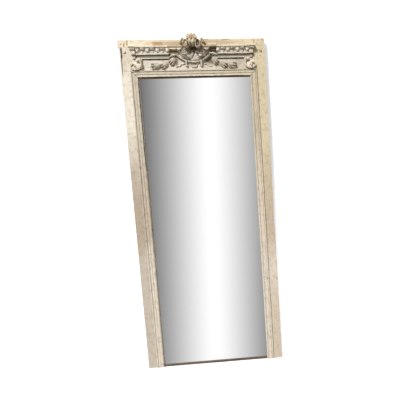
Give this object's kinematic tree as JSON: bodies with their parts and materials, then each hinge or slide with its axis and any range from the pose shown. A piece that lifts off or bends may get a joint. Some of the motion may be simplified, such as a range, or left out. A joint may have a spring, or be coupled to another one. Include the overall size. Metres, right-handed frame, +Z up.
{
  "type": "trumeau mirror",
  "caption": "Tall wall mirror in a painted board frame, with a moulding round the glass and a carved frieze, cornice, scroll consoles, garlands and crest above it.",
  "frame": {"origin": "middle of the foot, in the plane of the back that lies on the wall", "axes": "+Z up, the mirror faces -Y, +X to the right for someone who looks at it"},
  "size_m": [0.969, 0.092, 2.301],
  "materials": {
    "frame_paint": "worn cream paint on softwood boards, with bare patches",
    "moulding_paint": "worn cream paint, greyer in the hollows",
    "panel_paint": "dull grey-beige paint",
    "carving_paint": "grey-beige paint over carved wood, dark in the recesses",
    "bare_wood": "bare aged softwood",
    "dark_wood": "dark stained wood",
    "mirror_face": "old plate glass over silvering",
    "silver_backing": "red-brown backing paint over silver",
    "iron": "dull iron"
  },
  "bodies": {
    "root": {"left_stile": "frame_paint", "right_stile": "frame_paint", "top_rail": "frame_paint", "transom_rail": "bare_wood", "foot_rail": "dark_wood", "joint_pegs": "bare_wood", "frieze_panel": "panel_paint", "frieze_batten": "bare_wood", "left_console_block": "frame_paint", "right_console_block": "frame_paint", "left_moulding": "moulding_paint", "right_moulding": "moulding_paint", "top_moulding": "moulding_paint", "mirror_glass": "mirror_face", "silvering": "silver_backing", "glass_wedges": "bare_wood", "back_board_1": "bare_wood", "back_board_2": "bare_wood", "back_board_3": "bare_wood", "back_board_4": "bare_wood", "back_board_5": "bare_wood", "back_board_6": "bare_wood", "back_nails": "iron", "left_cap": "carving_paint", "right_cap": "carving_paint", "left_egg_band": "carving_paint", "right_egg_band": "carving_paint", "left_bed": "carving_paint", "right_bed": "carving_paint", "left_console": "carving_paint", "right_console": "carving_paint", "left_bud": "carving_paint", "right_bud": "carving_paint", "shield": "carving_paint", "crest_scroll": "carving_paint", "crest_flower": "carving_paint", "left_ear": "carving_paint", "right_ear": "carving_paint", "bow": "carving_paint", "ribbon_loop": "carving_paint", "left_ribbon": "carving_paint", "right_ribbon": "carving_paint", "torch": "carving_paint", "quiver": "carving_paint", "left_leaf": "carving_paint", "right_leaf": "carving_paint", "left_husk_1": "carving_paint", "left_husk_2": "carving_paint", "left_husk_3": "carving_paint", "right_husk_1": "carving_paint", "right_husk_2": "carving_paint", "right_husk_3": "carving_paint"}
  },
  "joints": []
}
